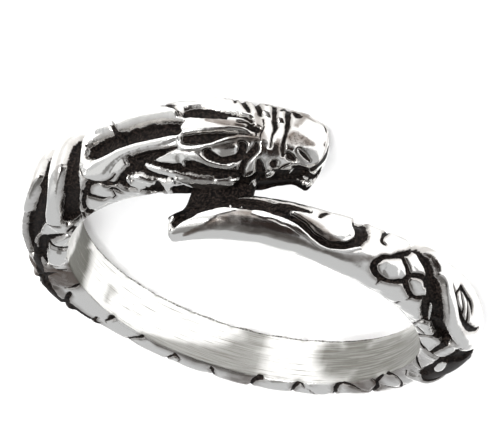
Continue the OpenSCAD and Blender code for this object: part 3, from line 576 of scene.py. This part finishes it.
def carve(turn, around):
    """Lift, blackness of sulphide and painted shade, painted grey shade with the film beside the black, at
    each place, and the distance to the nearest edge of a stroke.
    """
    bare = skin(turn, around)
    ragged = unevenness(bare, RAGGED)
    lift = unevenness(bare, HAND_WORK)
    black_and_shade, painted_shade_and_film, cut = (np.zeros(len(turn)) for _ in range(3))
    edge_gap = np.full(len(turn), NO_EDGE)
    for kind, level, path, wide, path_turn in CARVED:
        margin = wide.max() * LINE_FLARE + SPARE
        reach = math.degrees(margin / INSIDE_R) + SPARE_TURN
        near = (turn > path_turn.min() - reach) & (turn < path_turn.max() + reach)
        near &= ((bare > path.min(0) - margin) & (bare < path.max(0) + margin)).all(1)
        near = np.flatnonzero(near)
        if not len(near):
            continue
        gap = np.linalg.norm(bare[near][:, None] - path[None], axis=2)
        nearest = gap.argmin(1)
        w = wide[nearest]
        d = gap[np.arange(len(near)), nearest] + ragged[near] * np.minimum(w / RAGGED_WIDTH, 1)
        d = np.maximum(d, 0)
        stain_and_shade = 1 - smoothstep((d - w - (BLACK_OUT if kind == FIELD else 0)) / BLACK_EDGE + 0.5)
        to_edge = np.abs(d - w)
        if kind in (FIELD, LINE):
            # the grey beside the black is partly oxide film and partly painted shade
            film_and_shade = FILM_AND_SHADE * (1 - smoothstep((d - w) / (FILM_AND_SHADE_REACH * np.minimum(w / FILM_AND_SHADE_WIDTH, 1))))
            painted_shade_and_film[near] = np.maximum(painted_shade_and_film[near], film_and_shade)
            black_and_shade[near] = np.maximum(black_and_shade[near], stain_and_shade)
        if kind == FIELD:
            m = 1 - smoothstep((d - w + LIP_IN) / (LIP_IN + LIP_OUT))
        elif kind == RIDGE:
            m = np.clip(1 - (d / w) ** 2, 0, 1) ** RIDGE_POWER
            black_and_shade[near] *= 1 - smoothstep(m * RIDGE_POLISH)
            painted_shade_and_film[near] *= 1 - m
        elif kind == FLAT:
            m = 1 - smoothstep((d - w + FLAT_IN) / (FLAT_IN + FLAT_OUT))
            black_and_shade[near] *= 1 - stain_and_shade
            painted_shade_and_film[near] *= 1 - stain_and_shade
        elif kind == LINE:
            m = np.clip(1 - (d / (w * LINE_FLARE)) ** 2, 0, 1) ** 2
            cut[near] = np.maximum(cut[near], level * m)
            to_edge = np.maximum(d - w, 0)
        # a stain is sulphide in some places, and painted shade and dark reflection in others
        elif kind == STAIN_AND_SHADE:
            black_and_shade[near] = np.maximum(black_and_shade[near], stain_and_shade * level)
        else:
            fade = smoothstep((d / w - PAINTED_SHADE_CORE) / (1 - PAINTED_SHADE_CORE))
            painted_shade_and_film[near] = np.maximum(painted_shade_and_film[near], level * (1 - fade))
        if kind in (FIELD, RIDGE, FLAT):
            lift[near] += (level - lift[near]) * m
        if kind != PAINTED_SHADE and not (kind == RIDGE and w.max() >= BROAD):
            edge_gap[near] = np.minimum(edge_gap[near], to_edge)
    return lift - cut, black_and_shade, painted_shade_and_film, edge_gap


# The sheet: close rows where the carving is, wide ones on the back band
def spread(*stops):
    """Values from stop to stop in steps of about the given size: first, step, next, step, last."""
    out = [stops[0]]
    for i in range(1, len(stops), 2):
        n = max(round(abs(stops[i + 1] - out[-1]) / stops[i]), 1)
        out += list(np.linspace(out[-1], stops[i + 1], n + 1)[1:])
    return out


SNOUT_STEPS, TAIL_STEPS = (0, 12, 24, 36, 48, 60, 72, 84), (75, 50, 25, 0)
snout_rows = [SNOUT_END + SNOUT_ROUND * (1 - math.cos(math.radians(a))) for a in SNOUT_STEPS]
tail_rows = [TAIL_END - TAIL_ROUND * (1 - math.cos(math.radians(a))) for a in TAIL_STEPS]
coil_rows = spread(-96.6, 1.2, -36, 1.3, 30, 2.2, 150, 1.3, 240, 1.2, 295.8)
TURNS = np.array(snout_rows + coil_rows + tail_rows)
AROUNDS = np.array(spread(-180, 6, -125) + [-121, -118, -114, -108] + spread(-100, 6, 100)
                   + [108, 114, 118, 121] + spread(125, 6, 180))
WALL_EDGE, HIDDEN_SIDE = 126, -62  # refined up to the first on both sides, and twice from the second on
WALL_BEGINS = (119, 124)  # between these the relief's finish gives way to the wall's
# Distances from a stroke's edge: refined once, refined twice, softened after carving
NEAR_EDGE, AT_EDGE, SOFT_EDGE = 0.2, 0.075, 0.12
SOFTENING, MERGE = 0.4, 0.004


def sheet_places(bm):
    """Turn and around of every vertex of the flat sheet."""
    co = np.array([v.co[:2] for v in bm.verts])
    return [np.interp((at + 1) / 2 * (len(rows) - 1), np.arange(len(rows)), rows)
            for at, rows in zip(co.T, (TURNS, AROUNDS))]


def refine(bm, gap_limit, least_around):
    """Halves the faces that a stroke's edge comes close to."""
    turn, around = sheet_places(bm)
    gap = carve(turn, around)[3]
    want = (gap < gap_limit) & (around < WALL_EDGE) & (around > least_around)
    for i, v in enumerate(bm.verts):
        v.tag = bool(want[i])
    faces = [f for f in bm.faces if any(v.tag for v in f.verts)]
    edges = list({e for f in faces for e in f.edges})
    bmesh.ops.subdivide_edges(bm, edges=edges, cuts=1, use_grid_fill=True)


def ring_coil():
    """The whole casting but for the web, in the ring's own frame."""
    bm = bmesh.new()
    bmesh.ops.create_grid(bm, x_segments=len(TURNS) - 1, y_segments=len(AROUNDS) - 1, size=1)
    refine(bm, NEAR_EDGE, -WALL_EDGE)
    refine(bm, AT_EDGE, HIDDEN_SIDE)
    turn, around = sheet_places(bm)
    lift, black_and_shade, painted_shade_and_film, gap = carve(turn, around)
    place = skin(turn, around, lift) * MM
    wall = np.interp(np.abs(around), WALL_BEGINS, (0, 1))
    # per vertex: the black of sulphide and of painted shade, the painted grey shade with the film beside
    # the black, and the finger wall's share
    layers = [bm.verts.layers.float.new(name) for name in ("tarnish_and_painted_shade", "painted_shade_and_film", "wall")]
    round_hole = bm.verts.layers.float_vector.new("round_hole")
    for v, p, t, *values in zip(bm.verts, place, turn, black_and_shade, painted_shade_and_film, wall):
        v.co = p
        for layer, value in zip(layers, values):
            v[layer] = value
        v[round_hole] = (math.radians(t) * INSIDE_R, p[2] / MM, 0)
    soften = [v for v, g in zip(bm.verts, gap) if g < SOFT_EDGE]
    bmesh.ops.smooth_vert(bm, verts=soften, factor=SOFTENING,
                          use_axis_x=True, use_axis_y=True, use_axis_z=True)
    bmesh.ops.remove_doubles(bm, verts=bm.verts, dist=MERGE * MM)
    return bm


# The web: middle and half width as angles, height of its middle, half height on the jaw's side and on the
# tail's, thickness
WEB_MIDDLE, WEB_REACH = -75.5, 9.2
WEB_HEIGHT, WEB_TO_JAW, WEB_TO_TAIL, WEB_THICK = 0.62, 1.25, 1.42, 0.95
WEB_FOOT, FOOT_POWER = 2.6, 6  # how many degrees its foot leans towards the tail's tip, and how abruptly
WEB_OVER_TIP = 0.55  # how much farther it runs down over the slanted tip
WEB_FLARE = 0.2  # how much wider it is where it meets the jaw and the tail
WEB_WAIST, WEB_ROOT = 0.9, 0.16  # shares of its thickness, halfway and added at both ends
WEB_THIN = 0.12  # how much thinner it is towards its sides
WEB_OFF_WALL = 0.02
WEB_CUTS = 15


def jaw_web():
    """The bridge that the casting leaves between the jaw and the tail."""
    bm = bmesh.new()
    bmesh.ops.create_cube(bm, size=2)
    bmesh.ops.subdivide_edges(bm, edges=bm.edges, cuts=WEB_CUTS, use_grid_fill=True)
    # the web is black all over, as sulphide and as painted shade
    layer = bm.verts.layers.float.new("tarnish_and_painted_shade")
    for v in bm.verts:
        x, y, z = v.co
        flare = 1 + WEB_FLARE * z**4
        round_x = x * math.sqrt(1 - y * y / 3)
        foot = WEB_FOOT * max(z, 0) ** FOOT_POWER * (1 + x) / 2
        turn = math.radians(WEB_MIDDLE + WEB_REACH * round_x * flare + foot)
        thick = WEB_THICK * (WEB_WAIST + WEB_ROOT * z**4)
        ripple = 0.03 * math.sin(9 * x + 5 * z) + 0.02 * math.sin(13 * z - 4 * x)
        r = (INSIDE_R + WEB_OFF_WALL + thick * (y + 1) / 2 * (1 - WEB_THIN * x * x)
             + ripple * (y + 1) / 2)
        to_tail = WEB_TO_TAIL + WEB_OVER_TIP * max(x, 0) ** 3
        height = WEB_HEIGHT + z * (to_tail if z > 0 else WEB_TO_JAW)
        v.co = Vector((r * math.cos(turn), r * math.sin(turn), height)) * MM
        v[layer] = 1.0
    return bm


# Where the ring lies: its axis and middle are the finger hole's mount
mount = frame["record"]["mounts"][0]
axis = Vector(mount["axis"]).normalized()
lie = (Matrix.Translation(Vector(mount["pos_m"])) @ Matrix.Rotation(math.atan2(axis.x, axis.z), 4, "Y")
       @ Matrix.Rotation(-math.asin(axis.y), 4, "X"))


def linear(hex_colour):
    """sRGB hex colour as linear RGBA."""
    parts = [int(hex_colour[i:i + 2], 16) / 255 for i in (1, 3, 5)]
    return tuple(p / 12.92 if p <= 0.04045 else ((p + 0.055) / 1.055) ** 2.4 for p in parts) + (1.0,)


def add(tree, kind, inputs=None, **settings):
    """Adds a shader node with its settings, and its inputs as values or as sockets to link. An input is
    named, or counted from 0. A Mix node has an A and a B for each kind of data, and takes those in use."""
    made = tree.nodes.new("ShaderNode" + kind)
    for name, value in settings.items():
        setattr(made, name, value)
    for key, value in (inputs or {}).items():
        socket = next(s for i, s in enumerate(made.inputs) if s.enabled and key in (i, s.name))
        if isinstance(value, bpy.types.NodeSocket):
            tree.links.new(value, socket)
        else:
            socket.default_value = value
    return made


# Roughness of the polish, what the satin wall and the film with its painted shade add to it, and that of
# the sulphide
POLISHED, SATIN, FILM_AND_SHADE_DULL, SOOT_DULL = 0.15, 0.16, 0.12, 0.55
RAGGEDNESS = 0.55  # how far the grain shifts the edge of the black
SWELL_SHARE, GRAIN_SHARE = 1.6, 0.4  # heights of the bump, beside 1 for the scratches
BUMP_MM = 0.01


def blackened_silver_and_painted_shade():
    """Sterling silver, cast, dipped in sulphide and polished by hand: bright and very slightly uneven where
    a wheel reaches, satin with fine scratches on the finger wall, soft black in the hollows, with painted
    grey shade, dark reflections and black shade laid over it."""
    mat = bpy.data.materials.new("blackened_silver_with_painted_shade")
    mat.use_nodes = True
    t = mat.node_tree
    t.nodes.clear()
    place = add(t, "TexCoord").outputs["Object"]
    # the black of sulphide and of painted shade, the painted grey shade with the film beside the black, and
    # the finger wall's share
    mask, painted_shade_and_film, wall = (add(t, "Attribute", attribute_name=name).outputs["Fac"]
                        for name in ("tarnish_and_painted_shade", "painted_shade_and_film", "wall"))
    grain = add(t, "TexNoise", {"Vector": place, "Scale": 10 / MM, "Detail": 4.0}).outputs["Fac"]
    swell = add(t, "TexNoise", {"Vector": place, "Scale": 1.6 / MM, "Detail": 3.0}).outputs["Fac"]
    # scratches of the sizing stick, long round the hole and a few hundredths of a millimetre wide
    along = add(t, "Attribute", attribute_name="round_hole").outputs["Vector"]
    along = add(t, "Mapping", {"Vector": along, "Scale": (0.4, 12.0, 1.0)}).outputs["Vector"]
    scratch = add(t, "TexNoise", {"Vector": along, "Scale": 1.0, "Detail": 5.0,
                                  "Roughness": 0.65}).outputs["Fac"]
    # the edge of the black is ragged, as the wheel leaves it
    ragged = add(t, "Math", {0: grain, 1: 0.5}, operation="SUBTRACT").outputs[0]
    ragged = add(t, "Math", {0: ragged, 1: RAGGEDNESS, 2: mask}, operation="MULTIPLY_ADD").outputs[0]
    black_and_shade = add(t, "MapRange", {"Value": ragged, "From Min": 0.36, "From Max": 0.64},
                interpolation_type="SMOOTHSTEP").outputs["Result"]
    # the painted grey shade and the film are patchy: in blotches on the reliefs, in streaks on the wall
    patchy = add(t, "Mix", {"Factor": wall, "A": swell, "B": scratch}, data_type="FLOAT").outputs["Result"]
    patchy = add(t, "MapRange", {"Value": patchy, "From Min": 0.35, "From Max": 0.65,
                                 "To Min": 0.7, "To Max": 1.0}).outputs["Result"]
    film_and_shade = add(t, "Math", {0: painted_shade_and_film, 1: patchy}, operation="MULTIPLY").outputs[0]
    deep = add(t, "MapRange", {"Value": scratch, "From Min": 0.57, "From Max": 0.68})
    deep = add(t, "Math", {0: deep.outputs["Result"], 1: wall}, operation="MULTIPLY").outputs[0]
    # the sulphide, and the black painted as shade, is dull, with a few brighter specks where the casting's
    # grain shows through
    specks = add(t, "MapRange", {"Value": grain, "From Min": 0.45, "From Max": 0.75})
    soot_and_shade = add(t, "Mix", {"Factor": specks.outputs["Result"], "A": linear("#050404"),
                          "B": linear("#2e2723")}, data_type="RGBA").outputs["Result"]
    # the painted grey shade and the film are brownish on the reliefs, and a cooler grey on the finger wall
    film_and_shade_tint = add(t, "Mix", {"Factor": wall, "A": linear("#6c625b"), "B": linear("#62615a")},
               data_type="RGBA").outputs["Result"]
    # bright silver, under the painted grey shade and film, the deeper scratches, and the sulphide and
    # painted black shade
    colour = linear("#e9e8e5")
    for share, over in ((film_and_shade, film_and_shade_tint), (deep, linear("#8b8780")), (black_and_shade, soot_and_shade)):
        colour = add(t, "Mix", {"Factor": share, "A": colour, "B": over},
                     data_type="RGBA").outputs["Result"]
    metal = add(t, "MapRange", {"Value": black_and_shade, "To Min": 1.0, "To Max": 0.0}).outputs["Result"]
    # roughness, and then the bump: an unevenness of a few microns under the polish, and the scratches
    rough = POLISHED
    for share, added in ((wall, SATIN), (film_and_shade, FILM_AND_SHADE_DULL)):
        rough = add(t, "Math", {0: share, 1: added, 2: rough}, operation="MULTIPLY_ADD").outputs[0]
    rough = add(t, "Mix", {"Factor": black_and_shade, "A": rough, "B": SOOT_DULL},
                data_type="FLOAT").outputs["Result"]
    height = add(t, "Math", {0: scratch, 1: wall}, operation="MULTIPLY").outputs[0]
    for form, share in ((swell, SWELL_SHARE), (grain, GRAIN_SHARE)):
        height = add(t, "Math", {0: form, 1: share, 2: height}, operation="MULTIPLY_ADD").outputs[0]
    bump = add(t, "Bump", {"Height": height, "Strength": 1.0, "Distance": BUMP_MM * MM})
    shader = add(t, "BsdfPrincipled", {"Base Color": colour, "Metallic": metal, "Roughness": rough,
                                       "Normal": bump.outputs["Normal"], "Specular IOR Level": 0.08})
    add(t, "OutputMaterial", {"Surface": shader.outputs["BSDF"]})
    return mat


silver = blackened_silver_and_painted_shade()


def made_object(name, bm, material):
    mesh = bpy.data.meshes.new(name)
    bm.to_mesh(mesh)
    bm.free()
    mesh.materials.append(material)
    made = bpy.data.objects.new(name, mesh)
    scene.collection.objects.link(made)
    return made


def finished(name, bm):
    """Lays a piece where the ring lies and makes it an object in the silver."""
    bmesh.ops.recalc_face_normals(bm, faces=bm.faces)
    for f in bm.faces:
        f.smooth = True
    bm.transform(lie)
    piece = made_object(name, bm, silver)
    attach(piece, "root")
    return piece


coil = finished("dragon_coil", ring_coil())
finished("jaw_web", jaw_web())
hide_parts("ring")

# The camera, at the photo's angle to the ring
IMAGE_W = 500
LENS_PX = 6084.6
SENSOR_MM = 36
DISTANCE = 0.3
TILT, ROLL = math.radians(26), math.radians(163.982)
RING_PX = Vector((0.73, 59.39))  # where the ring's middle lies right of and below the image's middle
back = Vector((0, -math.cos(TILT), math.sin(TILT)))
level_right, level_up = Vector((1, 0, 0)), Vector((0, math.sin(TILT), math.cos(TILT)))
right = math.cos(ROLL) * level_right - math.sin(ROLL) * level_up
up = math.sin(ROLL) * level_right + math.cos(ROLL) * level_up
ahead = (-back * LENS_PX - right * RING_PX.x + up * RING_PX.y).normalized()
right = (right - ahead * right.dot(ahead)).normalized()
up = right.cross(ahead)
camera_data = bpy.data.cameras.new("camera")
camera_data.sensor_width = SENSOR_MM
camera_data.lens = LENS_PX * SENSOR_MM / IMAGE_W
camera_data.clip_start = 0.01
camera = bpy.data.objects.new("camera", camera_data)
scene.collection.objects.link(camera)
pose = Matrix((right, up, -ahead)).transposed().to_4x4()
pose.translation = back * DISTANCE
camera.matrix_world = lie @ pose
scene.camera = camera

FLOOR_HALF, LIGHT_DISTANCE = 1.5, 0.5


def floor():
    """White card on a light table, so some of its light comes from below."""
    bm = bmesh.new()
    bmesh.ops.create_grid(bm, x_segments=1, y_segments=1, size=FLOOR_HALF)
    mat = bpy.data.materials.new("white_card")
    mat.use_nodes = True
    shader = mat.node_tree.nodes["Principled BSDF"]
    shader.inputs["Base Color"].default_value = linear("#f4f4f4")
    shader.inputs["Roughness"].default_value = 0.8
    shader.inputs["Emission Color"].default_value = linear("#ffffff")
    shader.inputs["Emission Strength"].default_value = 0.1
    made_object("floor", bm, mat)


def soft_light(name, azimuth, elevation, size, power, mirrored_in_silver=True):
    """A square soft box that faces the ring. Azimuth 0 is on the camera's side, and 90 towards +X."""
    a, e = math.radians(azimuth), math.radians(elevation)
    where = Vector((math.sin(a) * math.cos(e), -math.cos(a) * math.cos(e), math.sin(e))) * LIGHT_DISTANCE
    data = bpy.data.lights.new(name, "AREA")
    data.shape, data.size, data.energy = "SQUARE", size, power
    light = bpy.data.objects.new(name, data)
    light.location = where
    light.rotation_euler = where.to_track_quat("Z", "Y").to_euler()
    light.visible_glossy = mirrored_in_silver
    scene.collection.objects.link(light)


# The tent's cloth, and the patches on it in the order they are laid: colour, azimuth of the middle, half
# width, softness of the sides, and for its lower and its upper edge the sines of the heights where there is
# none of it and all of it
CLOTH = "#d3d4d6"
PATCHES = (
    ("#8e8d8c", 0, 200, 5, (0.8, 0.92), (2.0, 1.5)),  # greyer overhead
    ("#eeeff0", 104, 34, 10, (0.35, 0.5), (0.99, 0.92)),  # lighter stretch on the +X side
    ("#ffffff", 75, 18, 6, (-0.5, -0.4), (0.4, 0.3)),  # low white panel under it
    ("#2f2521", -2, 26, 11, (-0.2, 0.0), (0.96, 0.8)),  # dark brown gap behind and above the camera
    ("#ffffff", 44, 15, 5, (-0.5, -0.4), (0.95, 0.8)),  # white panel beside the gap
)


def light_tent():
    """Light grey cloth all round the ring, with patches that the silver mirrors."""
    world = bpy.data.worlds.new("light_tent")
    scene.world = world
    world.use_nodes = True
    t = world.node_tree
    t.nodes.clear()
    way = add(t, "TexCoord").outputs["Generated"]
    x, y, z = add(t, "SeparateXYZ", {0: way}).outputs
    fore = add(t, "Math", {0: y, 1: -1.0}, operation="MULTIPLY").outputs[0]
    azimuth = add(t, "Math", {0: x, 1: fore}, operation="ARCTAN2").outputs[0]
    tent = linear(CLOTH)
    for colour, middle, half, soft, low, high in PATCHES:
        off = add(t, "Math", {0: azimuth, 1: math.radians(-middle)}, operation="ADD").outputs[0]
        off = add(t, "Math", {0: off}, operation="ABSOLUTE").outputs[0]
        sides = math.radians(half + soft), math.radians(half - soft)
        share = 1.0
        for value, (none, full) in ((z, low), (z, high), (off, sides)):
            part = add(t, "MapRange", {"Value": value, "From Min": none, "From Max": full},
                       interpolation_type="SMOOTHSTEP").outputs["Result"]
            share = add(t, "Math", {0: part, 1: share}, operation="MULTIPLY").outputs[0]
        tent = add(t, "Mix", {"Factor": share, "A": tent, "B": linear(colour)},
                   data_type="RGBA").outputs["Result"]
    lit = add(t, "Background", {"Color": tent, "Strength": 1.0})
    add(t, "OutputWorld", {"Surface": lit.outputs[0]})


floor()
light_tent()
soft_light("overhead", azimuth=0, elevation=88, size=0.4, power=1.5, mirrored_in_silver=False)
soft_light("front", azimuth=14, elevation=24, size=0.2, power=4.2, mirrored_in_silver=False)
soft_light("right_box", azimuth=44, elevation=28, size=0.14, power=0.7)
scene.view_settings.view_transform = "Standard"
